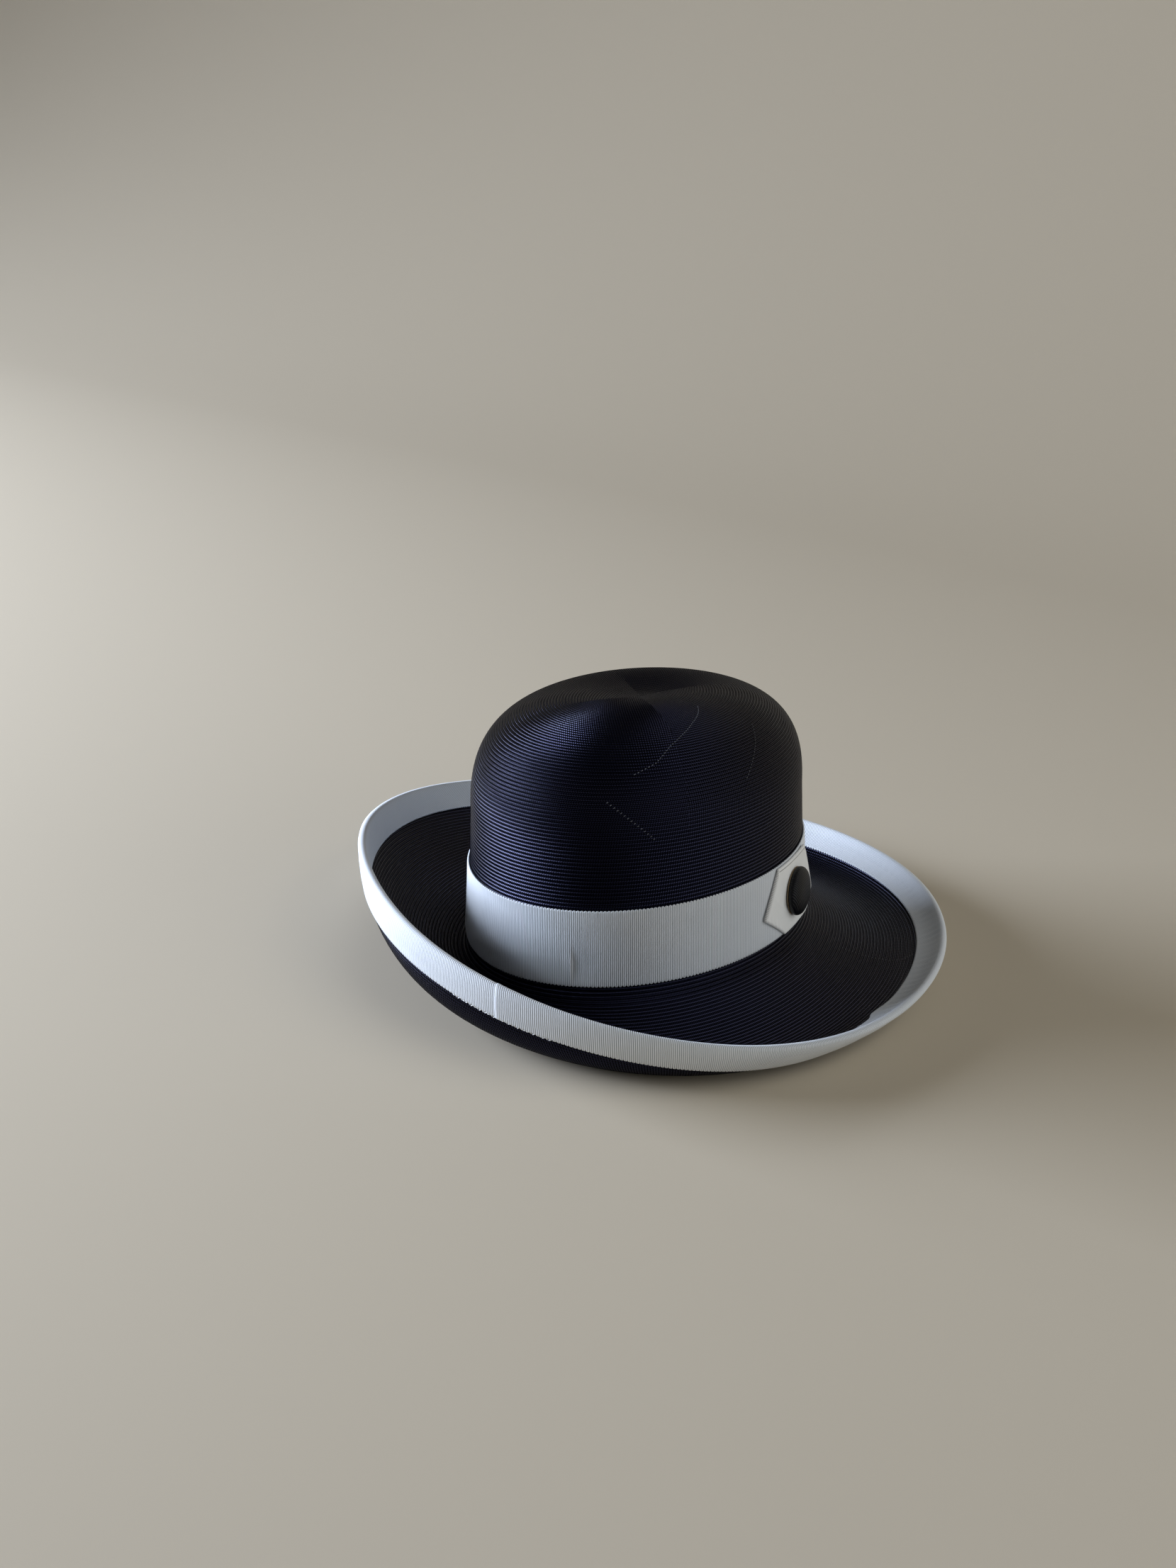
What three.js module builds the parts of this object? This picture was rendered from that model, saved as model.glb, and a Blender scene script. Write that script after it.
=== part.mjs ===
// A woven straw hat: a tall crown with a rounded shoulder, a brim swept up at the wearer's left and at the
// back, a ribbon band closed by a folded tab under a covered button, and a ribbon folded over the brim's edge.
// Millimetres. The hat is shaped about its head line, with +X at the wearer's right, +Y at the front and
// +Z up, and is then laid on z = 0 the way it rests by itself. Its origin is below the middle of its box.
import * as THREE from 'three';
import { ConvexHull } from 'three/addons/math/ConvexHull.js';
import { mergeVertices } from 'three/addons/utils/BufferGeometryUtils.js';

// Walls, and the clear air between pieces that lie on each other
const STRAW = 1.5;
const RIBBON = 1.0;
const GAP = 0.3;

// Head line, measured outside the straw
const HEAD_LENGTH = 205.5;
const HEAD_WIDTH = 164;

// Crown: a nearly straight side, then a squarish dome that sinks a little at its tip
const SIDE_HEIGHT = 64;
const DOME_RISE = 59.5;
const TIP_SINK = 10;
const SIDE_TAPER = 0.027;
const SHOULDER_UP = 0.77;
const SHOULDER_IN = 0.73;
const LEAN_RIGHT = 4.2;
const LEAN_FRONT = 1.8;
const TIP_FALL_RIGHT = 0.025;
const TIP_FALL_FRONT = 0.033;

// Brim: one row for each eighth of a turn, from the wearer's right over the front. width is a share of
// BRIM_WIDTH, leave is the slope where the brim leaves the crown and edge its slope at the edge, in degrees
// above level, and late says how late between them the brim curls.
const BRIM_WIDTH = 88;
const BRIM_DROP = 0.7;
const TURN_SHARE = 0.12;
const BRIM_ROWS = [
  { width: 0.94, leave: -36, edge: 45, late: 2.7 },
  { width: 0.99, leave: -30, edge: 52, late: 2.8 },
  { width: 1.03, leave: -26, edge: 72, late: 2.6 },
  { width: 1.03, leave: -5, edge: 70, late: 2.1 },
  { width: 0.97, leave: 21, edge: 73, late: 1.7 },
  { width: 0.98, leave: 14, edge: 105, late: 1.6 },
  { width: 1.05, leave: -22, edge: 119, late: 1.8 },
  { width: 1.0, leave: -43, edge: 84, late: 2.2 },
];

// Collar of the brim, set in by a jog so that it stands inside the crown
const COLLAR_HEIGHT = 15;
const JOG_HEIGHT = 4;

// Ribbons
const BAND_HEIGHT = 38;
const BINDING_ABOVE = 16.2;
const BINDING_BELOW = 15;
const FOLD_NOSE = 0.25;

// Tab: corners from its back point to its front point. along is a share of TAB_LENGTH counted from the button,
// low and high are shares of the band's height. Its ends stand off the round crown, the front one more.
const TAB_LENGTH = 66;
const TAB_LIFT_BACK = 0.6;
const TAB_LIFT_FRONT = 2;
const TAB_ROWS = [
  { along: -0.49, low: 0.38, high: 0.42 },
  { along: -0.29, low: 0.15, high: 0.98 },
  { along: -0.18, low: 0.01, high: 0.98 },
  { along: 0.29, low: 0.01, high: 0.98 },
  { along: 0.35, low: 0.03, high: 0.78 },
  { along: 0.51, low: 0.22, high: 0.27 },
];

// Button on the tab. Its flat back and its straight side are shares of its radius and of its height.
const BUTTON_DIAMETER = 24.6;
const BUTTON_HEIGHT = 6;
const BUTTON_FORWARD = 2;
const BUTTON_UP = 19.5;
const BUTTON_BACK = 0.825;
const BUTTON_SIDE = 0.35;
const BUTTON_SQUARENESS = 0.35;

// How far the straw gives where it stands, which leaves small flats
const REST_FLAT = 0.4;

// Facets
const AROUND = 64;
const DOME_STEPS = 9;
const SECTION_STEPS = 80;
const TAB_STEPS = 14;
const BUTTON_SIDES = 24;
const BUTTON_STEPS = 6;

// Where the brim's rows of vertices lie: shares of the width that the binding leaves bare, then of what it
// covers
const BARE_STATIONS = [0, 0.04, 0.08, 0.13, 0.2, 0.3, 0.4, 0.5, 0.6, 0.7, 0.8, 0.9];
const BOUND_STATIONS = [1, 0.66, 0.33];

// Only faces that look down this much can carry the hat
const LOOKS_DOWN = -0.8;

const quarter = Math.PI / 2;
const turns = Array.from({ length: AROUND }, (_, step) => (step / AROUND) * 2 * Math.PI);
const shift = (from, to, share) => from + (to - from) * share;

// Closed body on rows of points: a row of one point closes an end, and looped rows close on the first one
function skin(rows, looped) {
  const starts = [];
  const points = [];
  for (const row of rows) {
    starts.push(points.length);
    points.push(...row);
  }
  const faces = [];
  const bands = looped ? rows.length : rows.length - 1;
  for (let row = 0; row < bands; row += 1) {
    const next = (row + 1) % rows.length;
    const count = Math.max(rows[row].length, rows[next].length);
    for (let step = 0; step < count; step += 1) {
      const ahead = (step + 1) % count;
      const lowA = starts[row] + (rows[row].length > 1 ? step : 0);
      const lowB = starts[row] + (rows[row].length > 1 ? ahead : 0);
      const highA = starts[next] + (rows[next].length > 1 ? step : 0);
      const highB = starts[next] + (rows[next].length > 1 ? ahead : 0);
      if (rows[row].length > 1) faces.push([lowA, lowB, highB]);
      if (rows[next].length > 1) faces.push([lowA, highB, highA]);
    }
  }
  let volume = 0;
  for (const [a, b, c] of faces) {
    volume += points[a].dot(new THREE.Vector3().crossVectors(points[b], points[c]));
  }
  const outward = volume > 0 ? faces : faces.map(([a, b, c]) => [a, c, b]);
  const geometry = new THREE.BufferGeometry().setFromPoints(points);
  geometry.setIndex(outward.flat());
  return geometry;
}

// Outward direction of the head line's oval at a turn
function outwardAt(turn) {
  const across = Math.cos(turn) / (HEAD_WIDTH / 2);
  const along = Math.sin(turn) / (HEAD_LENGTH / 2);
  return new THREE.Vector3(across, along, 0).normalize();
}

// Point of the crown's form: climb goes from 0 at the head line over 1 at the shoulder to 2 at the tip's
// middle, and out is how far the point lies outside the straw's outer face
function crownPoint(turn, climb, out) {
  const side = Math.min(climb, 1);
  const swing = Math.max(climb - 1, 0) * quarter;
  const domeUp = Math.sin(swing) ** SHOULDER_UP;
  const inward = Math.max(Math.cos(swing), 0) ** SHOULDER_IN;
  const share = (1 - SIDE_TAPER * side) * inward;
  const x = ((HEAD_WIDTH / 2) * share + out * inward) * Math.cos(turn);
  const y = ((HEAD_LENGTH / 2) * share + out * inward) * Math.sin(turn);
  const rise = SIDE_HEIGHT * side + (DOME_RISE + out) * domeUp;
  const level = rise / (SIDE_HEIGHT + DOME_RISE);
  const tilt = (TIP_FALL_RIGHT * x + TIP_FALL_FRONT * y) * level ** 2;
  const fall = tilt + TIP_SINK * (1 - Math.cos(swing));
  return new THREE.Vector3(x + LEAN_RIGHT * level, y + LEAN_FRONT * level, rise - fall);
}

// Point of the crown's side at a height above the head line
const wallPoint = (turn, height, out) => crownPoint(turn, height / SIDE_HEIGHT, out);

// Value of a column of BRIM_ROWS at a turn, blended smoothly round the hat
function brimValue(column, turn) {
  const count = BRIM_ROWS.length;
  let value = 0;
  BRIM_ROWS.forEach((row, index) => {
    const away = turn - (index / count) * 2 * Math.PI;
    let weight = 1 + Math.cos((count / 2) * away);
    for (let wave = 1; wave < count / 2; wave += 1) weight += 2 * Math.cos(wave * away);
    value += (row[column] * weight) / count;
  });
  return value;
}

// Section of the brim at a turn: its width, and a function that gives the point at a distance out along it,
// lifted off its upper face
function brimSection(turn) {
  const width = BRIM_WIDTH * brimValue('width', turn);
  const leave = THREE.MathUtils.degToRad(brimValue('leave', turn));
  const edge = THREE.MathUtils.degToRad(brimValue('edge', turn));
  const late = brimValue('late', turn);
  const slopeAt = (share) => {
    const slope = leave + (edge - leave) * share ** late;
    return shift(slope, -quarter, Math.max(0, 1 - share / TURN_SHARE));
  };
  const path = [{ out: 0, up: -BRIM_DROP }];
  for (let step = 0; step < SECTION_STEPS; step += 1) {
    const slope = (slopeAt(step / SECTION_STEPS) + slopeAt((step + 1) / SECTION_STEPS)) / 2;
    const length = width / SECTION_STEPS;
    const last = path[step];
    path.push({ out: last.out + Math.cos(slope) * length, up: last.up + Math.sin(slope) * length });
  }
  const foot = crownPoint(turn, 0, 0);
  const away = outwardAt(turn);
  const at = (along, lift) => {
    const place = (along / width) * SECTION_STEPS;
    const step = Math.min(Math.floor(place), SECTION_STEPS - 1);
    const slope = slopeAt(place / SECTION_STEPS);
    const out = shift(path[step].out, path[step + 1].out, place - step) - lift * Math.sin(slope);
    const up = shift(path[step].up, path[step + 1].up, place - step) + lift * Math.cos(slope);
    return foot.clone().addScaledVector(away, out).add(new THREE.Vector3(0, 0, up));
  };
  return { width, at };
}

const sections = turns.map(brimSection);

// Rows of a ring whose section is a closed list of functions of the turn's index
const ring = (section) => section.map((place) => turns.map((turn, index) => place(turn, index)));

// Crown: outer face up to the tip, then inner face down again, open at the head line
function crown() {
  const seat = JOG_HEIGHT - BRIM_DROP + GAP;
  const climbs = [seat / SIDE_HEIGHT, 0.5, 1];
  for (let step = 1; step < DOME_STEPS; step += 1) climbs.push(1 + step / DOME_STEPS);
  const outer = climbs.map((climb) => turns.map((turn) => crownPoint(turn, climb, 0)));
  const inner = climbs.map((climb) => turns.map((turn) => crownPoint(turn, climb, -STRAW)));
  return skin([[crownPoint(0, 2, 0)], ...outer.reverse(), ...inner, [crownPoint(0, 2, -STRAW)]], false);
}

// Brim: collar and jog inside the crown's foot, then the swept plate out to the binding's fold, and back
// underneath
function brim() {
  const jogTop = JOG_HEIGHT - BRIM_DROP;
  const collarOut = -(STRAW + GAP);
  const collarIn = collarOut - STRAW;
  const face = (bound, lift) => {
    const bare = (share) => (turn, index) => {
      const { width, at } = sections[index];
      return at(share * (width - bound), lift);
    };
    const back = (distance) => (turn, index) => {
      const { width, at } = sections[index];
      return at(width - distance, lift);
    };
    const covered = BOUND_STATIONS.map((share) => back(share * bound));
    return [...BARE_STATIONS.map(bare), ...covered, back(RIBBON + GAP)];
  };
  return skin(ring([
    (turn) => wallPoint(turn, COLLAR_HEIGHT, collarOut),
    (turn) => wallPoint(turn, jogTop, collarOut),
    ...face(BINDING_ABOVE, 0),
    ...face(BINDING_BELOW, -STRAW).reverse(),
    (turn) => wallPoint(turn, jogTop, collarIn),
    (turn) => wallPoint(turn, COLLAR_HEIGHT, collarIn),
  ]), true);
}

// Ribbon band round the foot of the crown
function hatBand() {
  const heights = [0, BAND_HEIGHT / 2, BAND_HEIGHT];
  const face = (out) => heights.map((height) => (turn) => wallPoint(turn, height, out));
  return skin(ring([...face(GAP + RIBBON), ...face(GAP).reverse()]), true);
}

// Folded tab on the band, pointed at both ends
function bandTab() {
  const inner = TAB_ROWS.slice(1, -1);
  const columns = [];
  const first = TAB_ROWS[0].along;
  const last = TAB_ROWS[TAB_ROWS.length - 1].along;
  for (let step = 0; step <= TAB_STEPS; step += 1) {
    const along = shift(first, last, step / TAB_STEPS);
    const passed = inner.filter((row) => row.along < along).length;
    const [a, b] = [TAB_ROWS[passed], TAB_ROWS[passed + 1]];
    const share = (along - a.along) / (b.along - a.along);
    const low = shift(a.low, b.low, share) * BAND_HEIGHT;
    const high = shift(a.high, b.high, share) * BAND_HEIGHT;
    const end = along < 0 ? first : last;
    const lift = (along < 0 ? TAB_LIFT_BACK : TAB_LIFT_FRONT) * (along / end) ** 2;
    const under = GAP + RIBBON + GAP + lift;
    const turn = (BUTTON_FORWARD + along * TAB_LENGTH) / (HEAD_LENGTH / 2);
    columns.push([
      wallPoint(turn, low, under),
      wallPoint(turn, low, under + RIBBON),
      wallPoint(turn, high, under + RIBBON),
      wallPoint(turn, high, under),
    ]);
  }
  const middle = (column) => {
    const sum = new THREE.Vector3();
    column.forEach((point) => sum.add(point));
    return sum.divideScalar(column.length);
  };
  return skin([[middle(columns[0])], ...columns, [middle(columns[TAB_STEPS])]], false);
}

// Button: flat back, rounded rim and domed face, turned about its own Y axis
function button() {
  const radius = BUTTON_DIAMETER / 2;
  const profile = [new THREE.Vector2(0, 0), new THREE.Vector2(radius * BUTTON_BACK, 0)];
  for (let step = 0; step < BUTTON_STEPS; step += 1) {
    const swing = (step / BUTTON_STEPS) * quarter;
    const out = radius * Math.cos(swing) ** BUTTON_SQUARENESS;
    profile.push(new THREE.Vector2(out, shift(BUTTON_HEIGHT * BUTTON_SIDE, BUTTON_HEIGHT, Math.sin(swing))));
  }
  profile.push(new THREE.Vector2(0, BUTTON_HEIGHT));
  const geometry = new THREE.LatheGeometry(profile, BUTTON_SIDES);
  geometry.deleteAttribute('normal');
  geometry.deleteAttribute('uv');
  return mergeVertices(geometry);
}

// Binding: a ribbon folded over the brim's edge. Its section runs from the upper edge round the fold to the
// lower edge and back inside; each place is a distance back from the fold and a lift off the straw's upper
// face.
function edgeBinding() {
  const outside = GAP + RIBBON;
  const under = -STRAW - GAP;
  const soft = RIBBON + GAP / 2;
  const side = (bound, lift) => BOUND_STATIONS.map((share) => [share * bound, lift]);
  const places = [
    ...side(BINDING_ABOVE, outside),
    [soft, outside],
    [soft * FOLD_NOSE, outside / 2],
    [0, -STRAW / 2],
    [soft * FOLD_NOSE, -STRAW - outside / 2],
    [soft, under - RIBBON],
    ...side(BINDING_BELOW, under - RIBBON).reverse(),
    ...side(BINDING_BELOW, under),
    [RIBBON, under],
    [RIBBON, GAP],
    ...side(BINDING_ABOVE, GAP).reverse(),
  ];
  return skin(ring(places.map(([back, lift]) => (turn, index) => {
    const { width, at } = sections[index];
    return at(width - back, lift);
  })), true);
}

const straw = { color: 0x16172a, roughness: 0.55, metalness: 0 };
const ribbon = { color: 0xc9ced3, roughness: 0.7, metalness: 0 };
const cover = { color: 0x101122, roughness: 0.65, metalness: 0 };

const hat = new THREE.Group();

// Puts a piece on the hat under its name
function add(name, geometry, finish) {
  const mesh = new THREE.Mesh(geometry, new THREE.MeshStandardMaterial(finish));
  mesh.name = name;
  hat.add(mesh);
  return mesh;
}

add('crown', crown(), straw);
const brimMesh = add('brim', brim(), straw);
add('hat_band', hatBand(), ribbon);
add('band_tab', bandTab(), ribbon);
add('edge_binding', edgeBinding(), ribbon);
const buttonMesh = add('button', button(), cover);
const buttonTurn = BUTTON_FORWARD / (HEAD_LENGTH / 2);
buttonMesh.position.copy(wallPoint(buttonTurn, BUTTON_UP, GAP + RIBBON + GAP + RIBBON + GAP));
buttonMesh.quaternion.setFromUnitVectors(new THREE.Vector3(0, 1, 0), outwardAt(buttonTurn));
buttonMesh.updateMatrix();

// Point of a geometry's position attribute
const pointAt = (position, place) => new THREE.Vector3().fromBufferAttribute(position, place);

// Middle of mass of all the pieces, from the tetrahedra that their faces make with the origin
function middleOfMass() {
  const sum = new THREE.Vector3();
  let volume = 0;
  for (const mesh of hat.children) {
    const { index, attributes } = mesh.geometry;
    const corner = (place) => pointAt(attributes.position, index.getX(place)).applyMatrix4(mesh.matrix);
    for (let face = 0; face < index.count; face += 3) {
      const [a, b, c] = [corner(face), corner(face + 1), corner(face + 2)];
      const share = a.dot(new THREE.Vector3().crossVectors(b, c)) / 6;
      sum.addScaledVector(a.add(b).add(c), share / 4);
      volume += share;
    }
  }
  return sum.divideScalar(volume);
}

// Plane that the hat stands on: the face of its hull that the middle of mass lies over
function standingPlane() {
  const corners = [];
  for (const name of ['brim', 'edge_binding']) {
    const { position } = hat.getObjectByName(name).geometry.attributes;
    for (let place = 0; place < position.count; place += 1) {
      corners.push(pointAt(position, place));
    }
  }
  const middle = middleOfMass();
  const over = (face) => {
    const foot = middle.clone().addScaledVector(face.normal, -face.distanceToPoint(middle));
    const sides = [0, 1, 2].map((side) => {
      const edge = face.getEdge(side);
      const along = new THREE.Vector3().subVectors(edge.head().point, edge.tail().point);
      const toFoot = new THREE.Vector3().subVectors(foot, edge.tail().point);
      return along.cross(toFoot).dot(face.normal);
    });
    return Math.min(...sides);
  };
  const hull = new ConvexHull().setFromPoints(corners);
  const below = hull.faces.filter((face) => face.normal.z < LOOKS_DOWN);
  const face = below.reduce((best, next) => (over(next) > over(best) ? next : best));
  return new THREE.Plane(face.normal.clone(), -face.constant);
}

// Flats: what lies within REST_FLAT of the standing plane is pressed up to that depth
const plane = standingPlane();
const pressed = brimMesh.geometry.attributes.position;
for (let place = 0; place < pressed.count; place += 1) {
  const point = pointAt(pressed, place);
  const depth = plane.distanceToPoint(point) + REST_FLAT;
  if (depth > 0) {
    point.addScaledVector(plane.normal, -depth);
    pressed.setXYZ(place, point.x, point.y, point.z);
  }
}

// Lay the hat on z = 0 with its box centred over the origin
const down = new THREE.Vector3(0, 0, -1);
hat.quaternion.setFromUnitVectors(plane.normal, down);
hat.updateMatrixWorld(true);
const box = new THREE.Box3().setFromObject(hat, true);
const centre = box.getCenter(new THREE.Vector3());
hat.position.set(-centre.x, -centre.y, -box.min.z);

export default hat;
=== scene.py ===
import math

import bpy
import numpy as np
from mathutils import Matrix, Quaternion, Vector


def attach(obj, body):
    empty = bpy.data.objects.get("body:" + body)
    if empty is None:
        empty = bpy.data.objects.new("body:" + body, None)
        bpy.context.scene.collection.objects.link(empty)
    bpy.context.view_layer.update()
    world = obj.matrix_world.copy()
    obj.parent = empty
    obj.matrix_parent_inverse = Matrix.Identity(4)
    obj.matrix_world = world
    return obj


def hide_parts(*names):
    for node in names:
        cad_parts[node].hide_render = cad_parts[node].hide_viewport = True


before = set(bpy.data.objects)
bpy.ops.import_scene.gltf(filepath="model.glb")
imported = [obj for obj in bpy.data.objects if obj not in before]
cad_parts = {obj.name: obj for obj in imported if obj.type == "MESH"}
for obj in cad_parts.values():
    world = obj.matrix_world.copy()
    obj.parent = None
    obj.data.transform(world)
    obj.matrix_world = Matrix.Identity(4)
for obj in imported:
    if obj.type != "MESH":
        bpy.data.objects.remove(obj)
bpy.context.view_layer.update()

MM = 0.001
FULL_TURN = 2 * math.pi
QUARTER = math.pi / 2
UPRIGHT = np.array((0, 0, 1.0))

# Where the hat stands: the turn and move that bring its own frame into the row's
STAND_TURN = np.array(Quaternion((0.997177, 0.014999, -0.073575, 0)).to_matrix())
STAND_MOVE = np.array((-2.05, -6.985, 20.01))

# The form, as in the part's source
STRAW = 1.5
RIBBON = 1.0
GAP = 0.3
HEAD_LENGTH = 205.5
HEAD_WIDTH = 164
SIDE_HEIGHT = 64
DOME_RISE = 59.5
TIP_SINK = 10
SIDE_TAPER = 0.027
SHOULDER_UP = 0.77
SHOULDER_IN = 0.73
LEAN_RIGHT = 4.2
LEAN_FRONT = 1.8
TIP_FALL_RIGHT = 0.025
TIP_FALL_FRONT = 0.033
BRIM_WIDTH = 88
BRIM_DROP = 0.7
TURN_SHARE = 0.12
BRIM_ROWS = {
    "width": (0.94, 0.99, 1.03, 1.03, 0.97, 0.98, 1.05, 1.0),
    "leave": (-36, -30, -26, -5, 21, 14, -22, -43),
    "edge": (45, 52, 72, 70, 73, 105, 119, 84),
    "late": (2.7, 2.8, 2.6, 2.1, 1.7, 1.6, 1.8, 2.2),
}
COLLAR_HEIGHT = 15
JOG_HEIGHT = 4
BAND_HEIGHT = 38
BINDING_ABOVE = 16.2
BINDING_BELOW = 15
TAB_LENGTH = 66
TAB_ROWS = {
    "along": (-0.49, -0.29, -0.18, 0.29, 0.35, 0.51),
    "low": (0.38, 0.15, 0.01, 0.01, 0.03, 0.22),
    "high": (0.42, 0.98, 0.98, 0.98, 0.78, 0.27),
}
TAB_LIFT_BACK = 0.6
TAB_LIFT_FRONT = 2
BUTTON_DIAMETER = 24.6
BUTTON_HEIGHT = 6
BUTTON_FORWARD = 2
BUTTON_UP = 19.5

# Pitches of the weave and the ribs
ROW_PITCH = 1.84
STRAND_PITCH = 1.22
BAND_RIB = 0.935
BINDING_RIB = 0.96
WARP_PITCH = 0.3
PRESSED_RIB = 0.45
BUTTON_RIB = 1.1
BUTTON_YARN = 0.6
BUTTON_SLANT = 0.6

# How far a strand leans across its line, and each row is set off from the last, as shares of STRAND_PITCH
STRAND_LEAN = 0.55
ROW_OFFSET = -0.2

# Points that curves are sampled at before they are divided evenly
RING_SAMPLES = 4001
CLIMB_SAMPLES = 2000
SECTOR_SAMPLES = 1001
PATH_SAMPLES = 400

# A step small enough to find the direction of a surface with
NUDGE = 0.002


def place_in_row(points):
    """Points of the hat's own frame, in the row's frame and in metres."""
    return (points @ STAND_TURN.T + STAND_MOVE) * MM


def crown_point(turn, climb, out):
    """Point of the crown: climb is 0 at the head line, 1 at the shoulder and 2 at the tip's middle."""
    turn, climb, out = np.broadcast_arrays(turn, climb, out)
    side = np.minimum(climb, 1)
    swing = np.maximum(climb - 1, 0) * QUARTER
    dome_up = np.sin(swing) ** SHOULDER_UP
    inward = np.maximum(np.cos(swing), 0) ** SHOULDER_IN
    share = (1 - SIDE_TAPER * side) * inward
    x = (HEAD_WIDTH / 2 * share + out * inward) * np.cos(turn)
    y = (HEAD_LENGTH / 2 * share + out * inward) * np.sin(turn)
    rise = SIDE_HEIGHT * side + (DOME_RISE + out) * dome_up
    level = rise / (SIDE_HEIGHT + DOME_RISE)
    fall = (TIP_FALL_RIGHT * x + TIP_FALL_FRONT * y) * level**2 + TIP_SINK * (1 - np.cos(swing))
    return np.stack([x + LEAN_RIGHT * level, y + LEAN_FRONT * level, rise - fall], -1)


def wall_point(turn, height, out):
    """Point of the crown's side at a height above the head line."""
    return crown_point(turn, height / SIDE_HEIGHT, out)


def crown_ring(height, out):
    """Ring of the crown's side at a height, as a function of the turn."""
    return lambda turn: wall_point(turn, height, out)


def outward_at(turn):
    """Level direction away from the head line's oval."""
    way = np.stack([np.cos(turn) / HEAD_WIDTH, np.sin(turn) / HEAD_LENGTH, np.zeros_like(turn)], -1)
    return way / np.linalg.norm(way, axis=-1, keepdims=True)


def brim_value(column, turn):
    """Value of a column of BRIM_ROWS at a turn, blended smoothly round the hat."""
    values = BRIM_ROWS[column]
    count = len(values)
    total = 0
    for index, value in enumerate(values):
        away = turn - index / count * FULL_TURN
        weight = 1 + np.cos(count / 2 * away)
        for wave in range(1, count // 2):
            weight = weight + 2 * np.cos(wave * away)
        total = total + value * weight / count
    return total


def brim_width(turn):
    """Width of the brim's section at a turn."""
    return BRIM_WIDTH * brim_value("width", turn)


# Short straight steps that the brim's curved section is followed in
BRIM_STEPS = 80


def brim_point(turn, along, lift):
    """Point of the brim at a distance out along its section, lifted off its upper face."""
    turn, along, lift = np.broadcast_arrays(turn, along, lift)
    width = brim_width(turn)
    leave = np.radians(brim_value("leave", turn))
    edge = np.radians(brim_value("edge", turn))
    late = brim_value("late", turn)

    def slope_at(share):
        slope = leave + (edge - leave) * share**late
        return slope + (-QUARTER - slope) * np.maximum(0, 1 - share / TURN_SHARE)

    place = along / width * BRIM_STEPS
    out = np.zeros(turn.shape)
    up = np.full(turn.shape, -BRIM_DROP)
    for step in range(BRIM_STEPS):
        slope = (slope_at(step / BRIM_STEPS) + slope_at((step + 1) / BRIM_STEPS)) / 2
        run = np.clip(place - step, 0, 1) * width / BRIM_STEPS
        out = out + np.cos(slope) * run
        up = up + np.sin(slope) * run
    slope = slope_at(place / BRIM_STEPS)
    out = out - lift * np.sin(slope)
    up = up + lift * np.cos(slope)
    return crown_point(turn, 0, 0) + out[..., None] * outward_at(turn) + up[..., None] * UPRIGHT


def length_along(points):
    """Distance covered along a line of points, from zero."""
    steps = np.linalg.norm(np.diff(points, axis=0), axis=1)
    return np.concatenate([[0], np.cumsum(steps)])


def turns_for(count, ring):
    """count + 1 turns once round the hat, evenly spaced in length along a ring, and that ring's length."""
    fine = np.linspace(0, FULL_TURN, RING_SAMPLES)
    travelled = length_along(ring(fine))
    return np.interp(np.linspace(0, travelled[-1], count + 1), travelled, fine), travelled[-1]


def bell(value, middle, reach):
    """A soft bump that is 1 at the middle."""
    return np.exp(-(((value - middle) / reach) ** 2))


def select_only(*pieces):
    """Leaves just these pieces selected, with the first of them active."""
    bpy.ops.object.select_all(action="DESELECT")
    for piece in pieces:
        piece.select_set(True)
    bpy.context.view_layer.objects.active = pieces[0]


def read_points(mesh):
    """The vertices of a mesh, as rows of three numbers."""
    flat = np.empty(len(mesh.vertices) * 3)
    mesh.vertices.foreach_get("co", flat)
    return flat.reshape(-1, 3)


def write_points(mesh, points):
    """Lays the vertices of a mesh at points of the hat's own frame, none of them below the floor."""
    spots = place_in_row(points)
    spots[:, 2] = np.maximum(spots[:, 2], 0)
    mesh.vertices.foreach_set("co", spots.ravel())
    mesh.update()


def write_uvs(mesh, uvs):
    """Gives each vertex its place on the piece's own UV map, in metres."""
    corner = np.empty(len(mesh.loops), int)
    mesh.loops.foreach_get("vertex_index", corner)
    mesh.uv_layers.active.data.foreach_set("uv", (uvs[corner] * MM).ravel())
    mesh.uv_layers.active.name = "UVMap"


def uv_grid(along, across):
    """UVs of a grid, from a length along for each column and a length across for each row."""
    return np.stack(np.broadcast_arrays(along, across[:, None]), -1)


def wrap_grid(name, points, uvs):
    """A grid whose vertices are laid on rows of points, and the row and column of each vertex."""
    rows, columns = points.shape[:2]
    bpy.ops.object.select_all(action="DESELECT")
    bpy.ops.mesh.primitive_grid_add(x_subdivisions=columns - 1, y_subdivisions=rows - 1, size=2)
    piece = bpy.context.object
    piece.name = name
    piece.data.name = name
    flat = read_points(piece.data)
    column = np.rint((flat[:, 0] + 1) / 2 * (columns - 1)).astype(int)
    row = np.rint((flat[:, 1] + 1) / 2 * (rows - 1)).astype(int)
    write_points(piece.data, points[row, column])
    write_uvs(piece.data, uvs[row, column])
    return piece, (row, column)


def weld(piece):
    """Closes the seams and poles of a piece and turns its faces outward."""
    select_only(piece)
    bpy.ops.object.mode_set(mode="EDIT")
    bpy.ops.mesh.select_all(action="SELECT")
    bpy.ops.mesh.remove_doubles(threshold=0.002 * MM)
    bpy.ops.mesh.normals_make_consistent(inside=False)
    bpy.ops.object.mode_set(mode="OBJECT")
    bpy.ops.object.shade_smooth()


def finish_piece(piece, node, material):
    """Closes a piece and puts it in place of its solid, if it has one, with its material."""
    weld(piece)
    piece.data.materials.clear()
    piece.data.materials.append(material)
    if node:
        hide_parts(node)
    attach(piece, "root")


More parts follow.
